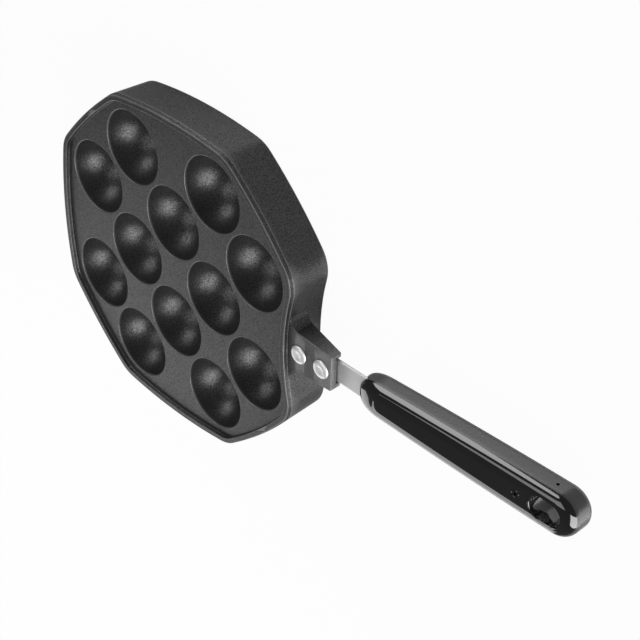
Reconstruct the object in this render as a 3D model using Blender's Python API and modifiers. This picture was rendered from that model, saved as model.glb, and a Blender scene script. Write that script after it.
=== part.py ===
"""Takoyaki pan: an eight-sided cast pan with twelve round cavities, riveted to a flat steel
tang that runs into a moulded handle.

Metres, +Z up, +X along the handle. The origin is the middle of the whole pan's box, on the
plane that it stands on. Every size is a named value below; all places follow from them and are
counted from the middle of the eight sides, where an empty carries every piece.
"""
import math

import bmesh
import bpy
from mathutils import Matrix, Vector

# Cavities: a square grid of four by four without its corners, turned an eighth of a turn
cavity_radius = 0.0200
cavity_web = 0.0026
cavity_shallowness = 0.0005
cavity_floor_thickness = 0.0044
cavity_lip_radius = 0.0006
cavity_grid_count = 4

# Pan outline: eight bowed sides, each a margin beyond the outermost cavities. The four that face
# the grid's own sides are called corner sides, and the one that carries the lug is hollow.
side_margin = 0.00985
side_bow_radius = 0.2560
corner_side_margin = 0.0093
corner_side_bow_radius = 0.2470
lug_side_margin = 0.00385
lug_side_hollow_radius = 0.1340
outline_corner_radius = 0.0199

# Pan section: the plate's top face is the height that the rim and the base are counted from
plate_thickness = 0.0040
wall_thickness = 0.0034
wall_draft = 0.0009
base_edge_radius = 0.0015
base_inner_edge = 0.0003
rim_height = 0.0021
rim_edge_radius = 0.0008
rim_top_width = 0.0025
rim_slope_width = 0.0003
ledge_width = 0.0003
ledge_drop = 0.0003

# Domes under the plate, one for each cavity, flat where they stand on the hob
dome_thickness = 0.0032
dome_drop = 0.0012

# Lug: a channel that opens downwards and outwards, cast with the pan
lug_end_half_width = 0.0099
lug_root_half_width = 0.0122
lug_flare_radius = 0.0056
lug_flange_width = 0.0026
lug_roof_thickness = 0.0043
lug_edge = 0.0006
lug_top_drop = 0.0003
lug_end_depth = 0.0070
lug_root_depth = 0.0124
lug_root_inset = 0.0011

# Tang: flat steel from the pan's wall, under the lug's roof, deep into the handle
tang_width = 0.0126
tang_thickness = 0.0015
tang_edge = 0.0003
tang_length_in_handle = 0.0860
tang_root_gap = 0.0008

# Rivets
rivet_wall_margin = 0.0080
rivet_pitch = 0.0151
rivet_end_margin = 0.0063
rivet_head_radius = 0.00515
rivet_head_height = 0.0014
rivet_head_rim = 0.0004
rivet_dimple_radius = 0.0016
rivet_dimple_depth = 0.0002
rivet_dimple_floor_share = 0.6
rivet_shank_radius = 0.0025
rivet_tail_radius = 0.0043
rivet_tail_height = 0.0012
rivet_tail_side_share = 0.6
rivet_tail_end_share = 0.8

# Handle: a moulded grip that widens and thickens towards its hanging end. Its nose is an ellipse in
# plan at a power of 2 and blunter above that, and its top edge is longer there by the slope share
handle_nose_gap = 0.0157
handle_length = 0.1271
handle_nose_half_width = 0.0088
handle_middle_half_width = 0.01075
handle_end_half_width = 0.0113
handle_nose_rise = 0.0003
handle_top_fall = 0.0021
handle_nose_thickness = 0.0140
handle_end_thickness = 0.0150
handle_nose_lean = 0.0010
handle_nose_taper = 0.0165
handle_nose_power = 2.5
handle_nose_slope_share = 2.4
handle_end_taper = 0.0113
handle_top_edge_radius = 0.0049
handle_bottom_edge_radius = 0.0044
handle_crown = 0.0002
hang_hole_length = 0.0166
hang_hole_width = 0.0120
hang_hole_end_margin = 0.0073
hang_hole_edge = 0.0006
mark_radius = 0.0022
mark_groove_width = 0.0005
mark_depth = 0.0003
mark_hole_gap = 0.0051
locating_hole_radius = 0.0008
locating_hole_depth = 0.0025
locating_hole_height_share = 0.51

# Fits and cuts
radial_clearance = 0.0003
seat_clearance = 0.0001
cut_overrun = 0.0020
merge_distance = 0.00001

# Facets; faces that meet below the smooth angle are shaded as one surface
smooth_angle = math.radians(35)
bow_points = 7
corner_points = 4
cavity_segments = 28
cavity_rings = 7
dome_segments = 20
dome_rings = 5
round_segments = 24
rivet_crown_points = 6
lug_flare_points = 7
edge_points = 3
handle_edge_points = 6
handle_end_points = 9
handle_side_points = 6

# Colour (linear) and roughness of each material
coating_colour = (0.030, 0.030, 0.031)
coating_roughness = 0.50
steel_colour = (0.560, 0.560, 0.570)
steel_roughness = 0.35
aluminium_colour = (0.800, 0.800, 0.810)
aluminium_roughness = 0.22
bakelite_colour = (0.012, 0.012, 0.012)
bakelite_roughness = 0.16

# Sizes and places that follow from the named ones
cavity_pitch = 2 * cavity_radius + cavity_web
cavity_depth = cavity_radius - cavity_shallowness
pan_depth = cavity_depth + cavity_floor_thickness
dome_radius = cavity_radius + dome_thickness
cavity_corner_side_reach = cavity_pitch * (cavity_grid_count - 1) / 2 + cavity_radius
cavity_side_reach = cavity_pitch * (cavity_grid_count - 2) * math.cos(math.pi / 4) + cavity_radius
side_reach = cavity_side_reach + side_margin
corner_side_reach = cavity_corner_side_reach + corner_side_margin
lug_side_reach = cavity_side_reach + lug_side_margin
rivet_xs = (lug_side_reach + rivet_wall_margin, lug_side_reach + rivet_wall_margin + rivet_pitch)
lug_reach = rivet_xs[1] + rivet_end_margin
handle_nose_x = lug_reach + handle_nose_gap
handle_end_x = handle_nose_x + handle_length
hang_hole_x = handle_end_x - hang_hole_end_margin - hang_hole_length / 2
pan_x = (side_reach - handle_end_x) / 2
plate_z = pan_depth
rim_z = plate_z + rim_height
lug_top_z = plate_z - lug_top_drop
lug_roof_z = lug_top_z - lug_roof_thickness
tang_top_z = lug_roof_z - radial_clearance
tang_bottom_z = tang_top_z - tang_thickness
tang_start_x = lug_side_reach + tang_root_gap
tang_end_x = handle_nose_x + tang_length_in_handle
rivet_seat_z = lug_top_z + seat_clearance
rivet_grip_length = rivet_seat_z - (tang_bottom_z - seat_clearance)


def fresh_scene():
    for thing in list(bpy.data.objects):
        bpy.data.objects.remove(thing, do_unlink=True)


def new_collection(name):
    collection = bpy.data.collections.new(name)
    bpy.context.scene.collection.children.link(collection)
    return collection


def new_material(name, colour, roughness, metallic):
    material = bpy.data.materials.new(name)
    material.use_nodes = True
    shader = material.node_tree.nodes["Principled BSDF"]
    shader.inputs["Base Color"].default_value = (*colour, 1)
    shader.inputs["Roughness"].default_value = roughness
    shader.inputs["Metallic"].default_value = metallic
    material.diffuse_color = (*colour, 1)
    return material


def add_object(name, mesh, collection, place=(0, 0, 0), material=None):
    """One object, placed from the middle of the eight sides."""
    if material and not mesh.materials:
        mesh.materials.append(material)
    thing = bpy.data.objects.new(name, mesh)
    thing.location = place
    thing.parent = bpy.data.objects["pan_middle"]
    collection.objects.link(thing)
    return thing


def add_cutter(name, mesh, collection, place=(0, 0, 0)):
    """A guide or cutting body, drawn as wires and left out of renders."""
    thing = add_object(name, mesh, collection, place)
    thing.hide_render = True
    thing.display_type = 'WIRE'
    return thing


def boolean(thing, other, operation):
    modifier = thing.modifiers.new(other.name, 'BOOLEAN')
    modifier.operation = operation
    modifier.solver = 'EXACT'
    modifier.object = other


def bevel(thing, width):
    modifier = thing.modifiers.new("broken_edges", 'BEVEL')
    modifier.width = width
    modifier.segments = 1
    modifier.limit_method = 'NONE'


def screw(thing, segments):
    """A full turn of a profile about its object's Z axis."""
    modifier = thing.modifiers.new("full_turn", 'SCREW')
    modifier.steps = segments
    modifier.render_steps = segments
    modifier.use_merge_vertices = True
    modifier.merge_threshold = merge_distance


def profile_mesh(name, profile, closed=False):
    """The half section of a turned piece, (radius, height) pairs that run down its outer side."""
    edges = [(k, k + 1) for k in range(len(profile) - 1)]
    if closed:
        edges.append((len(profile) - 1, 0))
    mesh = bpy.data.meshes.new(name)
    mesh.from_pydata([(radius, 0, z) for radius, z in profile], edges, [])
    return mesh


def finish_mesh(name, bm):
    """A mesh from its modelling data, smooth where faces meet at a shallow angle."""
    mesh = bpy.data.meshes.new(name)
    bm.to_mesh(mesh)
    bm.free()
    mesh.shade_smooth()
    mesh.set_sharp_from_angle(angle=smooth_angle)
    return mesh


def box_mesh(name, size):
    bm = bmesh.new()
    bmesh.ops.create_cube(bm, size=1, matrix=Matrix.Diagonal((*size, 1)))
    return finish_mesh(name, bm)


def cylinder_mesh(name, radius, length, segments):
    bm = bmesh.new()
    bmesh.ops.create_cone(bm, cap_ends=True, segments=segments, radius1=radius, radius2=radius,
                          depth=length)
    return finish_mesh(name, bm)


def loft_mesh(name, loops):
    """A closed skin through loops of equal count, capped at both ends."""
    bm = bmesh.new()
    rings = [[bm.verts.new(point) for point in loop] for loop in loops]
    count = len(rings[0])
    for lower, upper in zip(rings[:-1], rings[1:]):
        for k in range(count):
            j = (k + 1) % count
            bm.faces.new((lower[k], lower[j], upper[j], upper[k]))
    bm.faces.new(rings[0])
    bm.faces.new(rings[-1])
    bmesh.ops.recalc_face_normals(bm, faces=bm.faces)
    return finish_mesh(name, bm)


def quarter(radius, points):
    """Offsets (across, up) of a quarter round, from its side to its top."""
    step = math.pi / 2 / (points - 1)
    return [(radius - radius * math.cos(k * step), radius * math.sin(k * step)) for k in range(points)]


# Pan outline
def outline_sides():
    """Direction, reach from the middle and bow of the eight sides; a hollow side's bow is negative."""
    sides = []
    for k in range(8):
        direction = Vector((math.cos(k * math.pi / 4), math.sin(k * math.pi / 4)))
        if k == 0:
            sides.append((direction, lug_side_reach, -lug_side_hollow_radius))
        elif k % 2:
            sides.append((direction, corner_side_reach, corner_side_bow_radius))
        else:
            sides.append((direction, side_reach, side_bow_radius))
    return sides


def circles_meet(centre_a, radius_a, centre_b, radius_b, near):
    """The point where two circles meet that lies nearer to a given point."""
    across = centre_b - centre_a
    span = across.length
    along = (radius_a ** 2 - radius_b ** 2 + span ** 2) / (2 * span)
    aside = math.sqrt(radius_a ** 2 - along ** 2)
    foot = centre_a + across * (along / span)
    normal = Vector((-across.y, across.x)) / span
    return min((foot + normal * aside, foot - normal * aside), key=lambda point: (point - near).length)


def arc(centre, radius, start, end, points):
    """Points on a circle, the short way from one direction to another."""
    first = math.atan2(start.y, start.x)
    sweep = (math.atan2(end.y, end.x) - first + math.pi) % (2 * math.pi) - math.pi
    return [centre + radius * Vector((math.cos(first + sweep * k / (points - 1)),
                                      math.sin(first + sweep * k / (points - 1))))
            for k in range(points)]


def pan_outline(inset):
    """The pan's plan, drawn in by an equal distance all round."""
    sides = outline_sides()
    centres = [direction * (reach - bow) for direction, reach, bow in sides]
    bows = [bow for direction, reach, bow in sides]
    corners = []
    for k in range(8):
        j = (k + 1) % 8
        near = (sides[k][0] + sides[j][0]).normalized() * side_reach
        corners.append(circles_meet(centres[k], abs(bows[k] - outline_corner_radius),
                                    centres[j], abs(bows[j] - outline_corner_radius), near))
    points = []
    for k in range(8):
        j = (k + 1) % 8
        sign = math.copysign(1, bows[k])
        start = corners[k - 1] - centres[k]
        end = corners[k] - centres[k]
        points += arc(centres[k], abs(bows[k] - inset), start, end, bow_points)
        sign_next = math.copysign(1, bows[j])
        corner_start = end * sign
        corner_end = (corners[k] - centres[j]) * sign_next
        points += arc(corners[k], outline_corner_radius - inset, corner_start, corner_end,
                      corner_points)[1:-1]
    return points


def outline_loop(inset, z):
    return [(point.x, point.y, z) for point in pan_outline(inset)]


def wall_draft_at(z):
    """How far the outer wall leans in at a height, from nothing at the ledge to all at the base."""
    ledge_z = plate_z - ledge_drop
    return wall_draft * (ledge_z - z) / ledge_z


# Pan body
def tray_mesh():
    """Plate, rim, ledge, wall and skirt as one skin, from the plate's top round to its underside."""
    rim_outer = ledge_width
    rim_inner = rim_outer + rim_top_width
    loops = [outline_loop(rim_inner + rim_slope_width, plate_z), outline_loop(rim_inner, rim_z)]
    for across, up in reversed(quarter(rim_edge_radius, edge_points + 1)):
        loops.append(outline_loop(rim_outer + across, rim_z - rim_edge_radius + up))
    loops.append(outline_loop(rim_outer, plate_z))
    loops.append(outline_loop(0, plate_z - ledge_drop))
    for across, up in quarter(base_edge_radius, edge_points + 1):
        z = base_edge_radius - up
        loops.append(outline_loop(wall_draft_at(z) + across, z))
    inner = wall_draft + wall_thickness
    loops.append(outline_loop(inner - base_inner_edge, 0))
    loops.append(outline_loop(inner, base_inner_edge))
    loops.append(outline_loop(inner, plate_z - plate_thickness))
    return loft_mesh("pan_body", loops)


def cavity_places():
    """Middles of the cavities: the square grid without its corners, turned an eighth of a turn."""
    middle = (cavity_grid_count - 1) / 2
    steps = [k - middle for k in range(cavity_grid_count)]
    turned = Matrix.Rotation(math.pi / 4, 2)
    return [turned @ Vector((a, b)) * cavity_pitch
            for a in steps for b in steps
            if abs(a) + abs(b) < 2 * middle]


def dome_profile():
    """Half section of the back of one cavity, from its top inside the plate to its flat on the hob."""
    head = math.asin((plate_thickness / 2 - dome_drop) / dome_radius)
    foot = math.asin((pan_depth - dome_drop) / dome_radius)
    profile = [(0, -plate_thickness / 2)]
    for k in range(dome_rings + 1):
        angle = head + (foot - head) * k / dome_rings
        profile.append((dome_radius * math.cos(angle), -dome_drop - dome_radius * math.sin(angle)))
    profile.append((0, -pan_depth))
    return profile


def cavity_profile():
    """Half section of what one cavity takes out, from above the plate down to the bowl's bottom."""
    bowl_radius = (cavity_radius ** 2 + cavity_depth ** 2) / (2 * cavity_depth)
    bowl_middle = bowl_radius - cavity_depth
    mouth_radius = cavity_radius + cavity_lip_radius
    lip = quarter(cavity_lip_radius, edge_points)[:-1]
    profile = [(0, cut_overrun), (mouth_radius, cut_overrun)]
    profile += [(mouth_radius - up, -across) for across, up in lip]
    first = math.asin((cavity_lip_radius + bowl_middle) / bowl_radius)
    for k in range(cavity_rings):
        angle = first + (math.pi / 2 - first) * k / cavity_rings
        profile.append((bowl_radius * math.cos(angle), bowl_middle - bowl_radius * math.sin(angle)))
    profile.append((0, -cavity_depth))
    return profile


def lug_half_width(x):
    """The lug narrows evenly to its end and flares into the pan's wall."""
    wall_x = lug_side_reach + lug_root_inset
    flare_x = wall_x + lug_flare_radius
    share = (x - wall_x) / (lug_reach - wall_x)
    plain = lug_root_half_width + (lug_end_half_width - lug_root_half_width) * share
    if x >= flare_x:
        return plain
    rest = min(flare_x - x, lug_flare_radius)
    return plain + lug_flare_radius - math.sqrt(lug_flare_radius ** 2 - rest ** 2)


def lug_bottom(x):
    """The flanges grow deeper towards the pan."""
    share = (x - lug_side_reach) / (lug_reach - lug_side_reach)
    return plate_z - lug_root_depth + (lug_root_depth - lug_end_depth) * share


def lug_section(x, drawn_in=0):
    """The channel's section: roof and two flanges, its top edges broken."""
    half = lug_half_width(x) - drawn_in
    top = lug_top_z - drawn_in
    bottom = lug_bottom(x) + drawn_in
    slot = lug_end_half_width - lug_flange_width
    right = [(half - lug_edge, top), (half, top - lug_edge), (half, bottom),
             (slot, bottom), (slot, lug_roof_z)]
    ring = right + [(-y, z) for y, z in reversed(right)]
    return [(x, y, z) for y, z in ring]


def lug_mesh():
    """The lug as a skin through its sections, its root buried in the pan's wall."""
    wall_x = lug_side_reach + lug_root_inset
    stations = [lug_side_reach - lug_root_inset]
    for k in range(lug_flare_points):
        stations.append(wall_x + lug_flare_radius * k / (lug_flare_points - 1))
    stations.append(lug_reach - lug_edge)
    loops = [lug_section(x) for x in stations]
    loops.append(lug_section(lug_reach, lug_edge))
    return loft_mesh("lug", loops)


def add_rivet_holes(cutters):
    """What the rivets take out of the lug's roof and the tang."""
    length = lug_top_z - tang_bottom_z + 2 * cut_overrun
    mesh = cylinder_mesh("rivet_hole", rivet_shank_radius + radial_clearance, length, round_segments)
    middle = (lug_top_z + tang_bottom_z) / 2
    return [add_cutter(name, mesh, cutters, (x, 0, middle))
            for name, x in zip(("inner_rivet_hole", "outer_rivet_hole"), rivet_xs)]


def build_pan(parts, cutters, holes, material):
    pan = add_object("pan_body", tray_mesh(), parts, material=material)
    dome = profile_mesh("dome", dome_profile())
    bowl = profile_mesh("bowl", cavity_profile())
    domes = []
    bowls = []
    for k, place in enumerate(cavity_places()):
        middle = (place.x, place.y, plate_z)
        domes.append(add_cutter("dome_%02d" % (k + 1), dome, cutters, middle))
        screw(domes[-1], dome_segments)
        bowls.append(add_cutter("bowl_%02d" % (k + 1), bowl, cutters, middle))
        screw(bowls[-1], cavity_segments)
    lug = add_cutter("lug", lug_mesh(), cutters)
    for joined in domes + [lug]:
        boolean(pan, joined, 'UNION')
    for cutter in bowls + holes:
        boolean(pan, cutter, 'DIFFERENCE')


# Tang
def build_tang(parts, holes, material):
    """A flat bar with broken edges."""
    mesh = box_mesh("handle_tang", (tang_end_x - tang_start_x, tang_width, tang_thickness))
    place = ((tang_start_x + tang_end_x) / 2, 0, (tang_top_z + tang_bottom_z) / 2)
    tang = add_object("handle_tang", mesh, parts, place, material)
    bevel(tang, tang_edge)
    for hole in holes:
        boolean(tang, hole, 'DIFFERENCE')


# Rivets
def rivet_profile():
    """Half section of a rivet from the dimple in its head to its closed tail, from the seat up."""
    dish = rivet_head_height - rivet_dimple_depth
    profile = [(0, dish), (rivet_dimple_radius * rivet_dimple_floor_share, dish)]
    rise = rivet_head_height - rivet_head_rim
    span = rivet_head_radius - rivet_dimple_radius
    for k in range(rivet_crown_points + 1):
        angle = math.pi / 2 * k / rivet_crown_points
        profile.append((rivet_dimple_radius + span * math.sin(angle),
                        rivet_head_height - rise * (1 - math.cos(angle))))
    tail_edge = -rivet_grip_length - rivet_tail_height * rivet_tail_side_share
    tail_end = -rivet_grip_length - rivet_tail_height
    profile += [(rivet_head_radius, 0), (rivet_shank_radius, 0),
                (rivet_shank_radius, -rivet_grip_length), (rivet_tail_radius, -rivet_grip_length),
                (rivet_tail_radius, tail_edge), (rivet_tail_radius * rivet_tail_end_share, tail_end),
                (0, tail_end)]
    return profile


def build_rivets(parts, material):
    mesh = profile_mesh("rivet", rivet_profile())
    for name, x in zip(("inner_rivet", "outer_rivet"), rivet_xs):
        rivet = add_object(name, mesh, parts, (x, 0, rivet_seat_z), material)
        screw(rivet, round_segments)


# Handle
def handle_share(x):
    return (x - handle_nose_x) / handle_length


def handle_top(x):
    return plate_z + handle_nose_rise - handle_top_fall * handle_share(x)


def handle_bottom(x):
    thickness = handle_nose_thickness + (handle_end_thickness - handle_nose_thickness) * handle_share(x)
    return handle_top(x) - thickness


def handle_half_width(x):
    """The grip's sides bow gently through three stated half widths: nose, middle and end."""
    share = handle_share(x)
    nose = (1 - share) * (1 - 2 * share)
    middle = 4 * share * (1 - share)
    end = share * (2 * share - 1)
    return nose * handle_nose_half_width + middle * handle_middle_half_width + end * handle_end_half_width


def handle_outline(inset, nose_inset, lean):
    """The grip's plan at one height: bowed sides closed by a long blunt nose and a round end."""
    nose_centre = handle_nose_x - lean + handle_nose_taper
    end_centre = handle_end_x - handle_end_taper
    nose_reach = handle_nose_taper - nose_inset
    nose_half = handle_half_width(nose_centre) - inset
    bluntness = 2 / handle_nose_power
    turns = [math.pi / 2 * k / handle_end_points for k in range(handle_end_points + 1)]
    half = [(end_centre + (handle_end_taper - inset) * math.cos(turn),
             (handle_half_width(end_centre) - inset) * math.sin(turn)) for turn in turns]
    for k in range(1, handle_side_points):
        x = end_centre + (nose_centre - end_centre) * k / handle_side_points
        half.append((x, handle_half_width(x) - inset))
    half += [(nose_centre - nose_reach * max(0, math.cos(turn)) ** bluntness,
              nose_half * math.sin(turn) ** bluntness) for turn in reversed(turns)]
    return half + [(x, -y) for x, y in reversed(half[1:-1])]


def handle_mesh():
    """The grip as a skin through its plan at rising heights: rounded edges, sloped nose, crowned top."""
    loops = []
    for across, up in reversed(quarter(handle_bottom_edge_radius, handle_edge_points)):
        loops.append([(x, y, handle_bottom(x) + handle_bottom_edge_radius - up)
                      for x, y in handle_outline(across, across, handle_nose_lean)])
    for across, up in quarter(handle_top_edge_radius, handle_edge_points):
        loops.append([(x, y, handle_top(x) - handle_top_edge_radius + up)
                      for x, y in handle_outline(across, across * handle_nose_slope_share, 0)])
    crown_step = (handle_nose_half_width - handle_top_edge_radius) / 2
    crown_nose_inset = handle_top_edge_radius * handle_nose_slope_share + crown_step
    loops.append([(x, y, handle_top(x) + handle_crown)
                  for x, y in handle_outline(handle_top_edge_radius + crown_step, crown_nose_inset, 0)])
    return loft_mesh("handle_grip", loops)


def slot_outline(length, width, centre_x, points):
    """A slot with round ends, along X."""
    radius = width / 2
    reach = length / 2 - radius
    ring = []
    for sign in (1, -1):
        for k in range(points):
            angle = math.pi * (k / (points - 1) - 1 / 2)
            along = reach + radius * math.cos(angle)
            ring.append((centre_x + sign * along, sign * radius * math.sin(angle)))
    return ring


def hang_hole_mesh():
    """Cutter of the hanging slot, wider at both faces so that its edges are broken."""
    wide = 2 * (hang_hole_edge + cut_overrun)
    points = round_segments // 2
    top = handle_top(hang_hole_x) + handle_crown
    bottom = handle_bottom(hang_hole_x)
    loops = []
    for growth, z in ((wide, top + cut_overrun), (0, top - hang_hole_edge),
                      (0, bottom + hang_hole_edge), (wide, bottom - cut_overrun)):
        ring = slot_outline(hang_hole_length + growth, hang_hole_width + growth, hang_hole_x, points)
        loops.append([(x, y, z) for x, y in ring])
    return loft_mesh("hang_hole", loops)


def add_tang_slot(cutters):
    """Room for the tang inside the grip, open at the nose."""
    start = handle_nose_x - cut_overrun
    end = tang_end_x + radial_clearance
    width = tang_width + 2 * radial_clearance
    height = tang_thickness + 2 * radial_clearance
    mesh = box_mesh("tang_slot", (end - start, width, height))
    return add_cutter("tang_slot", mesh, cutters, ((start + end) / 2, 0, (tang_top_z + tang_bottom_z) / 2))


def add_mould_marks(cutters):
    """The marks of the mould's locating pins: a ringed hole on top and a plain one at the side."""
    mark_x = hang_hole_x - hang_hole_length / 2 - mark_hole_gap - mark_radius
    top = handle_top(mark_x) + handle_crown
    inner_radius = mark_radius - mark_groove_width
    groove_profile = [(mark_radius, cut_overrun), (mark_radius, -mark_depth),
                      (inner_radius, -mark_depth), (inner_radius, cut_overrun)]
    groove_mesh = profile_mesh("mark_groove", groove_profile, closed=True)
    groove = add_cutter("mark_groove", groove_mesh, cutters, (mark_x, 0, top))
    screw(groove, round_segments)
    pin = cylinder_mesh("locating_hole", locating_hole_radius, locating_hole_depth + cut_overrun,
                        round_segments // 2)
    outward = (cut_overrun - locating_hole_depth) / 2
    top_hole = add_cutter("mark_hole", pin, cutters, (mark_x, 0, top + outward))
    height_share = locating_hole_height_share
    side_z = handle_bottom(hang_hole_x) * (1 - height_share) + handle_top(hang_hole_x) * height_share
    side_y = handle_half_width(hang_hole_x) + outward
    side_hole = add_cutter("side_hole", pin, cutters, (hang_hole_x, side_y, side_z))
    side_hole.rotation_euler = (math.pi / 2, 0, 0)
    return [groove, top_hole, side_hole]


def build_handle(parts, cutters, material):
    grip = add_object("handle_grip", handle_mesh(), parts, material=material)
    hang_hole = add_cutter("hang_hole", hang_hole_mesh(), cutters)
    for cutter in [hang_hole, add_tang_slot(cutters)] + add_mould_marks(cutters):
        boolean(grip, cutter, 'DIFFERENCE')


def build():
    fresh_scene()
    parts = new_collection("takoyaki_pan")
    cutters = new_collection("cutters")
    middle = bpy.data.objects.new("pan_middle", None)
    middle.location = (pan_x, 0, 0)
    parts.objects.link(middle)
    coating = new_material("non_stick_coating", coating_colour, coating_roughness, 0)
    steel = new_material("tang_steel", steel_colour, steel_roughness, 1)
    aluminium = new_material("rivet_aluminium", aluminium_colour, aluminium_roughness, 1)
    bakelite = new_material("handle_bakelite", bakelite_colour, bakelite_roughness, 0)
    holes = add_rivet_holes(cutters)
    build_pan(parts, cutters, holes, coating)
    build_tang(parts, holes, steel)
    build_rivets(parts, aluminium)
    build_handle(parts, cutters, bakelite)


build()
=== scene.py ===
"""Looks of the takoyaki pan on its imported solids: finer pieces, materials, light and camera."""
import math

import bmesh
import bpy
from mathutils import Matrix, Quaternion, Vector

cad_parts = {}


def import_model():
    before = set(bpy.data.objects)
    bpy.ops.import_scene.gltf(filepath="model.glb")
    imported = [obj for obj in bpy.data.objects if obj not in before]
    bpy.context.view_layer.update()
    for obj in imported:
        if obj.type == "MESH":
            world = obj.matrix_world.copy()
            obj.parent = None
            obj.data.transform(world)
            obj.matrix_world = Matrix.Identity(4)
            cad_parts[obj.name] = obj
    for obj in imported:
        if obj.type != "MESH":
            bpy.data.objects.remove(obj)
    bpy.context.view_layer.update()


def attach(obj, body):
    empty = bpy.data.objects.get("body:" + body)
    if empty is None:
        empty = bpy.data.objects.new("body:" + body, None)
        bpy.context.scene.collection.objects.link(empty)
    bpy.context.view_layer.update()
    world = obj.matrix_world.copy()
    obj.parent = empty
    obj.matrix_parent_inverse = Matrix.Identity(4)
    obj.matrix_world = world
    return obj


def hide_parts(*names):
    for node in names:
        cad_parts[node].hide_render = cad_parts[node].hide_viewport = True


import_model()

# The solids' sizes in millimetres, counted from the middle of the plate's top face
DEPTH = 23.9
END_X = 256.3
PAN_X = (90.1 - END_X) / 2
PITCH = 42.6
CAVITY = 20.0
CAVITY_DEPTH = 19.5
LUG_X = 113.5
NOSE_X = 129.2
ROOF = -4.6
TANG_TOP = -4.9
TANG_THICK = 1.5
TANG_HALF = 6.3
TANG_IN_GRIP = 86
RIVETS = (92.1, 107.2)
RIVET_HOLE = ((2.8, 2), (2.8, -9))
SIDE_REACH, SIDE_BOW = 90.1, 256.0
DIAGONAL_REACH, DIAGONAL_BOW = 93.2, 247.0
LUG_SIDE_REACH, LUG_SIDE_HOLLOW = 84.1, -134.0
CORNER = 19.9
BACK_RADIUS = 23.2
LUG_FLARE = 5.6
GRIP_END_RADIUS = 11.3
GRIP_NOSE_LENGTH = 16.5
SLOT_LENGTH, SLOT_WIDTH = 16.6, 12.0
SLOT_MARGIN = 7.3
MARK_GAP, MARK_RADIUS = 5.1, 2.2
PIN_RADIUS = .8


def place(point):
    """A point in the solids' frame, in metres, from millimetres about the plate's middle."""
    return Vector(((point[0] + PAN_X) / 1000, point[1] / 1000, (point[2] + DEPTH) / 1000))


# Meshes
def mesh_object(name, bm):
    bmesh.ops.recalc_face_normals(bm, faces=bm.faces)
    mesh = bpy.data.meshes.new(name)
    bm.to_mesh(mesh)
    bm.free()
    thing = bpy.data.objects.new(name, mesh)
    bpy.context.scene.collection.objects.link(thing)
    return thing


def loft(name, loops, closed=False):
    """A skin through loops of equal count. It is capped at both ends, or joined up if closed."""
    bm = bmesh.new()
    rings = [[bm.verts.new(place(p)) for p in loop] for loop in loops]
    pairs = list(zip(rings[:-1], rings[1:]))
    if closed:
        pairs.append((rings[-1], rings[0]))
    for low, high in pairs:
        count = max(len(low), len(high))
        for k in range(count):
            j = (k + 1) % count
            if len(low) == 1:
                bm.faces.new((low[0], high[j], high[k]))
            elif len(high) == 1:
                bm.faces.new((low[k], low[j], high[0]))
            else:
                bm.faces.new((low[k], low[j], high[j], high[k]))
    if not closed:
        for ring in (rings[0], rings[-1]):
            if len(ring) > 1:
                bm.faces.new(ring)
    return mesh_object(name, bm)


def turned(name, profile, centre, count, closed=False):
    loops = []
    for r, z in profile:
        if r < 1e-6:
            loops.append([(centre[0], centre[1], z)])
        else:
            loops.append([(centre[0] + r * math.cos(2 * math.pi * k / count),
                           centre[1] + r * math.sin(2 * math.pi * k / count), z) for k in range(count)])
    return loft(name, loops, closed)


def cut(thing, other, operation):
    """Applies one Boolean and removes the other mesh."""
    modifier = thing.modifiers.new("cut", 'BOOLEAN')
    modifier.operation = operation
    modifier.solver = 'MANIFOLD'
    modifier.object = other
    apply_modifiers(thing)
    bpy.data.objects.remove(other, do_unlink=True)


def apply_modifiers(thing):
    bpy.context.view_layer.update()
    evaluated = thing.evaluated_get(bpy.context.evaluated_depsgraph_get())
    mesh = bpy.data.meshes.new_from_object(evaluated)
    thing.modifiers.clear()
    thing.data = mesh


def bevel(thing, width, segments, angle):
    modifier = thing.modifiers.new("bevel", 'BEVEL')
    modifier.width = width / 1000
    modifier.segments = segments
    modifier.limit_method = 'ANGLE'
    modifier.angle_limit = math.radians(angle)
    modifier.harden_normals = False
    apply_modifiers(thing)


def finish_piece(thing, node, material, angle=32):
    """Smooth shading that keeps flat faces flat, then the node that the piece stands for."""
    thing.data.materials.clear()
    thing.data.materials.append(material)
    thing.data.shade_smooth()
    thing.data.set_sharp_from_angle(angle=math.radians(angle))
    weighted = thing.modifiers.new("weighted", 'WEIGHTED_NORMAL')
    weighted.keep_sharp = True
    weighted.weight = 100
    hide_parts(node)
    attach(thing, "root")


def quarter(radius, steps, turn=90):
    turns = [math.radians(turn * k / steps) for k in range(steps + 1)]
    return [(radius * (1 - math.cos(t)), radius * math.sin(t)) for t in turns]


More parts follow.
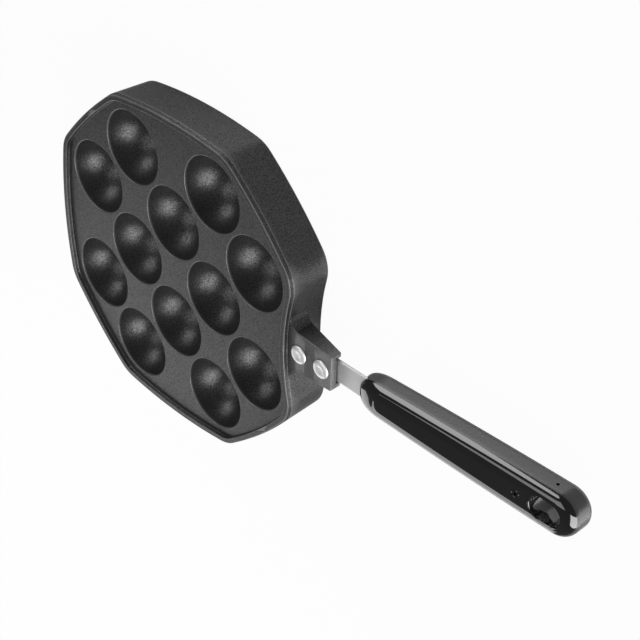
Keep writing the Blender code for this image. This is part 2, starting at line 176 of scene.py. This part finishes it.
# Pan outline
def outline(inset):
    sides = []
    for k in range(8):
        way = Vector((math.cos(k * math.pi / 4), math.sin(k * math.pi / 4)))
        if k == 0:
            reach, bow = LUG_SIDE_REACH, LUG_SIDE_HOLLOW
        elif k % 2:
            reach, bow = DIAGONAL_REACH, DIAGONAL_BOW
        else:
            reach, bow = SIDE_REACH, SIDE_BOW
        sides.append((way * (reach - bow), bow))
    middles = []
    for k in range(8):
        (ca, ra), (cb, rb) = sides[k], sides[(k + 1) % 8]
        turn = (k + .5) * math.pi / 4
        near = Vector((math.cos(turn), math.sin(turn))) * SIDE_REACH
        ra, rb = abs(ra - CORNER), abs(rb - CORNER)
        across = cb - ca
        span = across.length
        along = (ra * ra - rb * rb + span * span) / (2 * span)
        aside = math.sqrt(ra * ra - along * along)
        foot, normal = ca + across * (along / span), Vector((-across.y, across.x)) / span
        both = (foot + normal * aside, foot - normal * aside)
        middles.append(min(both, key=lambda p: (p - near).length))

    def arc(centre, radius, start, end, count):
        first = math.atan2(start.y, start.x)
        sweep = (math.atan2(end.y, end.x) - first + math.pi) % (2 * math.pi) - math.pi
        turns = [first + sweep * i / count for i in range(count + 1)]
        return [centre + radius * Vector((math.cos(t), math.sin(t))) for t in turns]

    points = []
    for k in range(8):
        (c, r), (c2, r2) = sides[k], sides[(k + 1) % 8]
        points += arc(c, abs(r - inset), middles[k - 1] - c, middles[k] - c, 22)
        points += arc(middles[k], CORNER - inset, (middles[k] - c) * math.copysign(1, r),
                      (middles[k] - c2) * math.copysign(1, r2), 9)[1:-1]
    return points


def loop(inset, z):
    return [(p.x, p.y, z) for p in outline(inset)]


def cavity_places():
    steps = (-1.5, -.5, .5, 1.5)
    turn = Matrix.Rotation(math.pi / 4, 2)
    return [turn @ Vector((a, b)) * PITCH for a in steps for b in steps if abs(a) + abs(b) < 3]


def build_pan(material):
    draft = lambda z: .9 * (-.3 - z) / (DEPTH - .3)
    loops = [loop(5.2, 0), loop(3.95, 0)]
    # Inner face of the rim, hollow at its foot, and a crest with narrow edges and a shallow dip
    for inset, z in ((3.75, .02), (3.6, .09), (3.5, .22), (3.45, .42), (3.3, 1.6), (3.27, 1.85),
                     (3.2, 1.99), (3.08, 2.08), (2.94, 2.1), (2.7, 2.09), (1.8, 2.04), (1.2, 2.07)):
        loops.append(loop(inset, z))
    # Outer face of the rim, and the small bead under it
    for across, up in reversed(quarter(.4, 3)):
        loops.append(loop(.45 + across, 2.08 - .4 + up))
    for inset, z in ((.44, 1.4), (.4, .25), (.42, .02), (.32, -.13), (.14, -.22), (.03, -.38), (0, -.62)):
        loops.append(loop(inset, z))
    for z in (-8, -16):
        loops.append(loop(draft(z), z))
    for across, up in quarter(1.5, 6):
        z = -DEPTH + 1.5 - up
        loops.append(loop(draft(z) + across, z))
    # The wall's edge and the open underside
    wall = 4.3
    for more, z in ((-.3, -DEPTH), (0, -DEPTH + .3), (0, -10), (0, -5.5), (.5, -4.3), (1.5, -4)):
        loops.append(loop(wall + more, z))
    pan = loft("pan", loops)
    # The backs of the cavities
    middle = -1.2
    foot, head = math.asin((DEPTH + middle) / BACK_RADIUS), math.radians(2)
    turns = [foot + (head - foot) * k / 14 for k in range(15)]
    profile = [(BACK_RADIUS * math.cos(t), middle - BACK_RADIUS * math.sin(t)) for t in turns]
    for spot in cavity_places():
        cut(pan, turned("dome", profile, spot, 56), 'UNION')
    cut(pan, lug(), 'UNION')
    # The cavities, each a part of a ball with a rounded lip
    bowl = (CAVITY ** 2 + CAVITY_DEPTH ** 2) / (2 * CAVITY_DEPTH)
    lip = .45
    profile = [(CAVITY + lip, 2), (CAVITY + lip, .002)]
    for k in range(1, 5):
        turn = math.pi / 2 * k / 4
        profile.append((CAVITY + lip * (1 - math.sin(turn)), -lip * (1 - math.cos(turn))))
    low = -CAVITY_DEPTH + bowl
    first = math.asin((lip + low) / bowl)
    for k in range(1, 19):
        turn = first + (math.pi / 2 - first) * k / 18
        profile.append((0 if k == 18 else bowl * math.cos(turn), low - bowl * math.sin(turn)))
    for spot in cavity_places():
        cut(pan, turned("bowl", profile, spot, 80), 'DIFFERENCE')
    drill(pan)
    finish_piece(pan, "pan_body", material, 40)


def drill(thing):
    for x in RIVETS:
        cut(thing, turned("hole", RIVET_HOLE, (x, 0), 32), 'DIFFERENCE')


def lug():
    """The lug as one channel, its outer edges rounded, its root inside the wall."""
    wall, root, tip, room = LUG_SIDE_REACH + 1.1, 12.2, 9.9, 7.3
    deep, shallow = 12.4, 7.0

    def half(x):
        plain = root + (tip - root) * (x - wall) / (LUG_X - wall)
        rest = max(0, min(wall + LUG_FLARE - x, LUG_FLARE))
        return plain + LUG_FLARE - math.sqrt(LUG_FLARE ** 2 - rest ** 2)

    def section(x):
        w = half(x)
        bottom = -deep + (deep - shallow) * (x - LUG_SIDE_REACH) / (LUG_X - LUG_SIDE_REACH)
        right = [(w, -.3), (w, bottom), (room, bottom), (room, ROOF)]
        return [(x, y, z) for y, z in right + [(-y, z) for y, z in reversed(right)]]

    stations = [83.0, 85.2] + [85.2 + LUG_FLARE * (1 - math.cos(math.pi / 2 * k / 12)) for k in range(1, 13)]
    stations += [96, 102, 108, LUG_X]
    channel = loft("lug", [section(x) for x in stations])
    bevel(channel, .6, 4, 50)
    return channel


# Tang and rivets
def build_tang(material):
    w, top, low, e = TANG_HALF, TANG_TOP, TANG_TOP - TANG_THICK, .45
    turns = [math.pi / 2 * k / 4 for k in range(5)]
    right = [(w - e + e * math.sin(t), top - e + e * math.cos(t)) for t in turns]
    right += [(w - e + e * math.cos(t), low + e - e * math.sin(t)) for t in turns]
    section = right + [(-y, z) for y, z in reversed(right)]
    tang = loft("tang", [[(x, y, z) for y, z in section] for x in (84.9, NOSE_X + TANG_IN_GRIP)])
    drill(tang)
    finish_piece(tang, "handle_tang", material)


def build_rivet(name, node, x, material):
    """A pressed rivet: a low dome with a dished middle, its rim rolled under, and its closed tail."""
    seat, dish, head, crown, edge = -.2, 2.5, 4.95, 1.4, .3
    profile = [(0, seat + 1.1), (.9, seat + 1.1), (1.5, seat + 1.13), (1.9, seat + 1.24),
               (2.2, seat + 1.35), (dish, seat + crown)]
    for k in range(1, 11):
        turn = math.pi / 2 * k / 10
        profile.append((dish + (head - dish) * math.sin(turn),
                        seat + crown - (crown - edge) * (1 - math.cos(turn))))
    profile += [(4.9, seat + .12), (4.7, seat), (2.5, seat), (2.5, -6.5), (4.3, -6.5), (4.3, -7.2),
                (4.1, -7.55), (3.5, -7.7), (0, -7.7)]
    rivet = turned(name, profile, (x, 0), 64)
    finish_piece(rivet, node, material, 40)


# Grip
def grip_share(x):
    return (x - NOSE_X) / (END_X - NOSE_X)


def grip_top(x):
    return .3 - 2.1 * grip_share(x)


def grip_bottom(x):
    return grip_top(x) - 14.0 - 1.0 * grip_share(x)


def grip_half(x):
    """Half the width, a parabola through its sizes at the nose, the middle and the end."""
    s = grip_share(x)
    return (1 - s) * (1 - 2 * s) * 8.8 + 4 * s * (1 - s) * 10.75 + s * (2 * s - 1) * GRIP_END_RADIUS


def grip_outline(inset, nose_inset, lean):
    nose = NOSE_X - lean + GRIP_NOSE_LENGTH
    end = END_X - GRIP_END_RADIUS
    count = 24
    turns = [math.pi / 2 * k / count for k in range(count + 1)]
    half = [(end + (GRIP_END_RADIUS - inset) * math.cos(t), (grip_half(end) - inset) * math.sin(t))
            for t in turns]
    for k in range(1, count):
        x = end + (nose - end) * k / count
        half.append((x, grip_half(x) - inset))
    half += [(nose - (GRIP_NOSE_LENGTH - nose_inset) * max(0, math.cos(t)) ** .8,
              (grip_half(nose) - inset) * math.sin(t) ** .8) for t in reversed(turns)]
    return half + [(x, -y) for x, y in reversed(half[1:-1])]


def slot_ring(length, width, centre, count=20):
    radius, reach = width / 2, length / 2 - width / 2
    ring = []
    for sign in (1, -1):
        for k in range(count + 1):
            turn = math.pi * (k / count - .5)
            ring.append((centre + sign * (reach + radius * math.cos(turn)), sign * radius * math.sin(turn)))
    return ring


def build_grip(material):
    loops = []
    low, high, crown = 4.4, 4.9, .2
    for across, up in reversed(quarter(low, 14)):
        loops.append([(x, y, grip_bottom(x) + low - up) for x, y in grip_outline(across, across, 1.0)])
    for across, up in quarter(high, 14):
        loops.append([(x, y, grip_top(x) - high + up) for x, y in grip_outline(across, across * 2.4, 0)])
    for k in range(1, 5):
        step = (8.8 - high) * .5 * k / 4
        loops.append([(x, y, grip_top(x) + crown * (1 - (1 - k / 4) ** 2))
                      for x, y in grip_outline(high + step, high * 2.4 + step, 0)])
    grip = loft("grip", loops)
    # The hanging slot, its edges rounded
    centre = END_X - SLOT_MARGIN - SLOT_LENGTH / 2
    top, bottom = grip_top(centre) + crown, grip_bottom(centre)
    e = .7
    rings = [(2 * e + .02, top + 2)]
    for k in range(7):
        turn = math.pi / 2 * k / 6
        rings.append((2 * e * (1 - math.sin(turn)), top - e * (1 - math.cos(turn))))
    rings += [(grow, top + bottom - z) for grow, z in reversed(rings)]
    cutter = loft("hang", [[(x, y, z) for x, y in slot_ring(SLOT_LENGTH + g, SLOT_WIDTH + g, centre)]
                           for g, z in rings])
    cut(grip, cutter, 'DIFFERENCE')
    # The room that the tang fills
    play = .3
    near, far, side = 120, NOSE_X + TANG_IN_GRIP + play, TANG_HALF + play
    tang_room = loft("room", [[(near, -side, z), (far, -side, z), (far, side, z), (near, side, z)]
                              for z in (TANG_TOP - TANG_THICK - play, TANG_TOP + play)])
    cut(grip, tang_room, 'DIFFERENCE')
    # The marks of the mould's pins: a ring with a dot on top, and a hole in the side
    mark = END_X - SLOT_MARGIN - SLOT_LENGTH - MARK_GAP - MARK_RADIUS
    mark_top = grip_top(mark) + crown
    ring = turned("ring", [(MARK_RADIUS, mark_top + 1), (MARK_RADIUS, mark_top - .2), (2.05, mark_top - .3),
                           (1.85, mark_top - .3), (1.7, mark_top - .2), (1.7, mark_top + 1)],
                  (mark, 0), 40, True)
    cut(grip, ring, 'DIFFERENCE')
    dot = turned("dot", [(PIN_RADIUS, mark_top + 1), (PIN_RADIUS, mark_top - 2.5)], (mark, 0), 20)
    cut(grip, dot, 'DIFFERENCE')
    side = grip_half(centre)
    z = grip_bottom(centre) + (grip_top(centre) - grip_bottom(centre)) * .51
    turns = [2 * math.pi * k / 20 for k in range(20)]
    hole = loft("pin", [[(centre + PIN_RADIUS * math.cos(t), y, z + PIN_RADIUS * math.sin(t)) for t in turns]
                        for y in (side - 2.5, side + 2)])
    cut(grip, hole, 'DIFFERENCE')
    finish_piece(grip, "handle_grip", material)


# Materials
class Nodes:
    """A small hand for wiring one material."""

    def __init__(self, name):
        self.material = bpy.data.materials.new(name)
        self.material.use_nodes = True
        self.tree = self.material.node_tree
        self.shader = self.tree.nodes["Principled BSDF"]
        self.where = self.tree.nodes.new("ShaderNodeTexCoord").outputs["Object"]

    def add(self, kind, inputs=(), **settings):
        node = self.tree.nodes.new(kind)
        for name, value in settings.items():
            setattr(node, name, value)
        for name, value in dict(inputs).items():
            self.put(node.inputs[name], value)
        return node

    def put(self, socket, value):
        if hasattr(value, "links"):
            self.tree.links.new(value, socket)
        else:
            socket.default_value = value

    def stretch(self, scale):
        return self.add("ShaderNodeMapping", {"Vector": self.where, "Scale": scale}).outputs[0]

    def noise(self, scale, detail=2, roughness=.5, vector=None):
        node = self.add("ShaderNodeTexNoise", {"Vector": vector or self.where, "Scale": scale, "Detail": detail,
                                               "Roughness": roughness})
        return node.outputs["Fac"]

    def remap(self, value, low, high, to_low, to_high):
        node = self.add("ShaderNodeMapRange", {"Value": value, "From Min": low, "From Max": high,
                                               "To Min": to_low, "To Max": to_high})
        return node.outputs[0]

    def mix(self, share, a, b):
        node = self.add("ShaderNodeMix", data_type='RGBA')
        self.put(node.inputs[0], share)
        self.put(node.inputs[6], a)
        self.put(node.inputs[7], b)
        return node.outputs[2]

    def pointiness(self):
        """How sharply the surface bends outward: over .5 on an outer edge, under it in a corner."""
        return self.add("ShaderNodeNewGeometry").outputs["Pointiness"]

    def math(self, operation, a, b=0):
        return self.add("ShaderNodeMath", {0: a, 1: b}, operation=operation).outputs[0]

    def vector(self, operation, a, b=(0, 0, 0)):
        return self.add("ShaderNodeVectorMath", {0: a, 1: b}, operation=operation).outputs

    def bump(self, height, strength, distance, normal=None):
        node = self.add("ShaderNodeBump", {"Height": height, "Strength": strength, "Distance": distance})
        if normal:
            self.put(node.inputs["Normal"], normal)
        return node.outputs[0]

    def set(self, **inputs):
        names = {"colour": "Base Color", "rough": "Roughness", "metal": "Metallic", "normal": "Normal",
                 "ior": "IOR", "coat": "Coat Weight", "coat_rough": "Coat Roughness", "spec": "Specular IOR Level"}
        for name, value in inputs.items():
            self.put(self.shader.inputs[names[name]], value)


def painted_lip_highlight(n):
    """1 along the edge of every cavity, where a lighter line is painted as a highlight, from the distance to the
    nearest point of their square grid.
    """
    shift = -PAN_X / PITCH / math.sqrt(2)
    grid = n.add("ShaderNodeMapping", {"Vector": n.where, "Scale": (1000 / PITCH, 1000 / PITCH, 0),
                                       "Rotation": (0, 0, -math.pi / 4), "Location": (shift, -shift, 0)}).outputs[0]
    cell = n.vector('SUBTRACT', n.vector('FRACTION', grid)[0], (.5, .5, 0))[0]
    reach = n.vector('LENGTH', n.vector('MULTIPLY', cell, (PITCH, PITCH, 0))[0])[1]
    line = n.remap(n.math('ABSOLUTE', n.math('SUBTRACT', reach, CAVITY + .12)), .06, .24, 1, 0)
    apart = n.add("ShaderNodeSeparateXYZ", {"Vector": n.vector('ABSOLUTE', grid)[0]}).outputs
    held = n.math('MULTIPLY', n.remap(n.math('MINIMUM', apart[0], apart[1]), 1, 1.02, 1, 0),
                  n.remap(n.math('MAXIMUM', apart[0], apart[1]), 1.99, 2, 1, 0))
    return n.math('MULTIPLY', line, held)


def coating():
    n = Nodes("non_stick_coating")
    grain = n.noise(2600, 2, .6)
    speck = n.noise(1700, 1, .5)
    patches = n.noise(60, 3, .5)
    above = n.add("ShaderNodeSeparateXYZ", {"Vector": n.where}).outputs[2]
    off_plate = n.remap(n.math('ABSOLUTE', n.math('SUBTRACT', above, DEPTH / 1000)), .0001, .0003, 0, 1)
    # Painted highlight: lighter lines on the rim's outer folds and along the cavity lips, standing in for the light
    # that these narrow edges catch
    painted_fold_highlight = n.math('MULTIPLY', n.remap(n.pointiness(), .513, .535, 0, 1), off_plate)
    painted_edge_highlight = n.math('MAXIMUM', painted_fold_highlight, n.math('MULTIPLY', painted_lip_highlight(n), n.remap(above, .0225, .0229, 0, 1)))
    base = n.mix(n.remap(patches, .3, .7, 0, 1), (.018, .018, .0185, 1), (.023, .023, .0235, 1))
    # The light grey is the painted highlight's colour, laid over the coating's dark base
    n.set(colour=n.mix(painted_edge_highlight, base, (.14, .14, .14, 1)),
          rough=n.remap(grain, .3, .7, .32, .36), ior=1.6, spec=n.remap(speck, .36, .64, .2, .8),
          normal=n.bump(grain, .20, .0002, n.bump(speck, .08, .0004)))
    return n.material


def steel():
    n = Nodes("tang_steel")
    brushed = n.noise(400, 3, .6, n.stretch((.08, 1.6, 1.6)))
    n.set(colour=n.mix(brushed, (.76, .76, .77, 1), (.88, .88, .89, 1)), metal=1.0,
          rough=n.remap(brushed, .3, .7, .50, .62), normal=n.bump(brushed, .06, .0002))
    return n.material


def aluminium():
    n = Nodes("rivet_aluminium")
    worn = n.noise(700, 3, .6)
    n.set(colour=n.mix(worn, (.94, .94, .95, 1), (.98, .98, .99, 1)), metal=1.0,
          rough=n.remap(worn, .3, .7, .50, .60), coat=1.0, coat_rough=.10, normal=n.bump(worn, .08, .0002))
    return n.material


def bakelite():
    n = Nodes("handle_bakelite")
    haze = n.noise(90, 3, .5)
    pores = n.noise(1800, 2, .5)
    n.set(colour=n.mix(haze, (.004, .004, .004, 1), (.006, .006, .006, 1)), ior=1.6,
          rough=n.remap(haze, .3, .7, .06, .10), coat=1.0, coat_rough=.06, normal=n.bump(pores, .02, .0002))
    return n.material


# Light, floor and camera
def softbox(name, azimuth, elevation, wide, high, distance, level, lean=0):
    """A soft lamp that faces the pan, its place and spread given as angles and its brightness as a radiance."""
    data = bpy.data.lights.new(name, 'AREA')
    data.shape = 'RECTANGLE'
    data.size = 2 * distance * math.tan(math.radians(wide / 2))
    data.size_y = 2 * distance * math.tan(math.radians(high / 2))
    data.energy = level * math.pi * data.size * data.size_y
    lamp = bpy.data.objects.new(name, data)
    turn, rise = math.radians(azimuth), math.radians(elevation)
    way = Vector((math.cos(turn) * math.cos(rise), math.sin(turn) * math.cos(rise), math.sin(rise)))
    lamp.location = place((60, 0, -6)) + way * distance
    lamp.rotation_mode = 'QUATERNION'
    lamp.rotation_quaternion = way.to_track_quat('Z', 'Y') @ Quaternion((0, 0, 1), math.radians(lean))
    lamp.visible_camera = False
    bpy.context.scene.collection.objects.link(lamp)


def lights():
    softbox("lamp_right", -21, 23, 44, 50, 1.6, 5.1)
    softbox("lamp_left", 122, 17, 26, 50, 1.6, 3.4, 16)
    softbox("lamp_top", 125, 80, 38, 32, 1.5, 1.6)
    softbox("lamp_back", -126, 10, 44, 42, 1.6, 1.4)


def floor():
    bm = bmesh.new()
    bmesh.ops.create_grid(bm, x_segments=1, y_segments=1, size=6)
    ground = mesh_object("floor", bm)
    ground.location.z = -.0002
    material = bpy.data.materials.new("floor")
    material.use_nodes = True
    tree = material.node_tree
    shader = tree.nodes["Principled BSDF"]
    shader.inputs["Base Color"].default_value = (.75, .75, .75, 1)
    shader.inputs["Metallic"].default_value = .4
    shader.inputs["Roughness"].default_value = .35
    glow = tree.nodes.new("ShaderNodeEmission")
    glow.inputs["Color"].default_value = (1, 1, 1, 1)
    path = tree.nodes.new("ShaderNodeLightPath")
    shares = []
    for kind, share in (("Is Camera Ray", .96), ("Is Glossy Ray", .06)):
        part = tree.nodes.new("ShaderNodeMath")
        part.operation = 'MULTIPLY'
        part.inputs[1].default_value = share
        tree.links.new(path.outputs[kind], part.inputs[0])
        shares.append(part)
    both = tree.nodes.new("ShaderNodeMath")
    both.operation = 'MAXIMUM'
    tree.links.new(shares[0].outputs[0], both.inputs[0])
    tree.links.new(shares[1].outputs[0], both.inputs[1])
    blend = tree.nodes.new("ShaderNodeMixShader")
    tree.links.new(both.outputs[0], blend.inputs[0])
    tree.links.new(shader.outputs[0], blend.inputs[1])
    tree.links.new(glow.outputs[0], blend.inputs[2])
    tree.links.new(blend.outputs[0], tree.nodes["Material Output"].inputs[0])
    ground.data.materials.append(material)


def world():
    """A dim studio that the camera sees as white."""
    scene_world = bpy.data.worlds.new("studio")
    scene_world.use_nodes = True
    tree = scene_world.node_tree
    background = tree.nodes["Background"]
    background.inputs["Color"].default_value = (1, 1, 1, 1)
    path = tree.nodes.new("ShaderNodeLightPath")
    level = tree.nodes.new("ShaderNodeMapRange")
    level.inputs["To Min"].default_value = .10
    level.inputs["To Max"].default_value = 1
    tree.links.new(path.outputs["Is Camera Ray"], level.inputs["Value"])
    tree.links.new(level.outputs[0], background.inputs["Strength"])
    bpy.context.scene.world = scene_world


def camera():
    data = bpy.data.cameras.new("camera")
    data.sensor_width = 36
    data.lens = CAMERA_LENS
    data.clip_start, data.clip_end = .05, 20
    eye = bpy.data.objects.new("camera", data)
    right, up, back = (Vector(v) for v in CAMERA_AXES)
    turn = Matrix((right, up, back)).transposed()
    eye.matrix_world = Matrix.Translation(place(CAMERA_AT)) @ turn.to_4x4()
    bpy.context.scene.collection.objects.link(eye)
    bpy.context.scene.camera = eye


CAMERA_LENS = 87.716
CAMERA_AT = (513.893, 449.14, 412.037)
CAMERA_AXES = ((.695873, .02735, -.717643), (-.437466, .808627, -.393378), (.569547, .587686, .574667))


def build():
    build_pan(coating())
    build_tang(steel())
    bright = aluminium()
    build_rivet("rivet_in", "inner_rivet", RIVETS[0], bright)
    build_rivet("rivet_out", "outer_rivet", RIVETS[1], bright)
    build_grip(bakelite())
    lights()
    floor()
    world()
    camera()
    bpy.context.scene.view_settings.view_transform = 'Standard'


build()
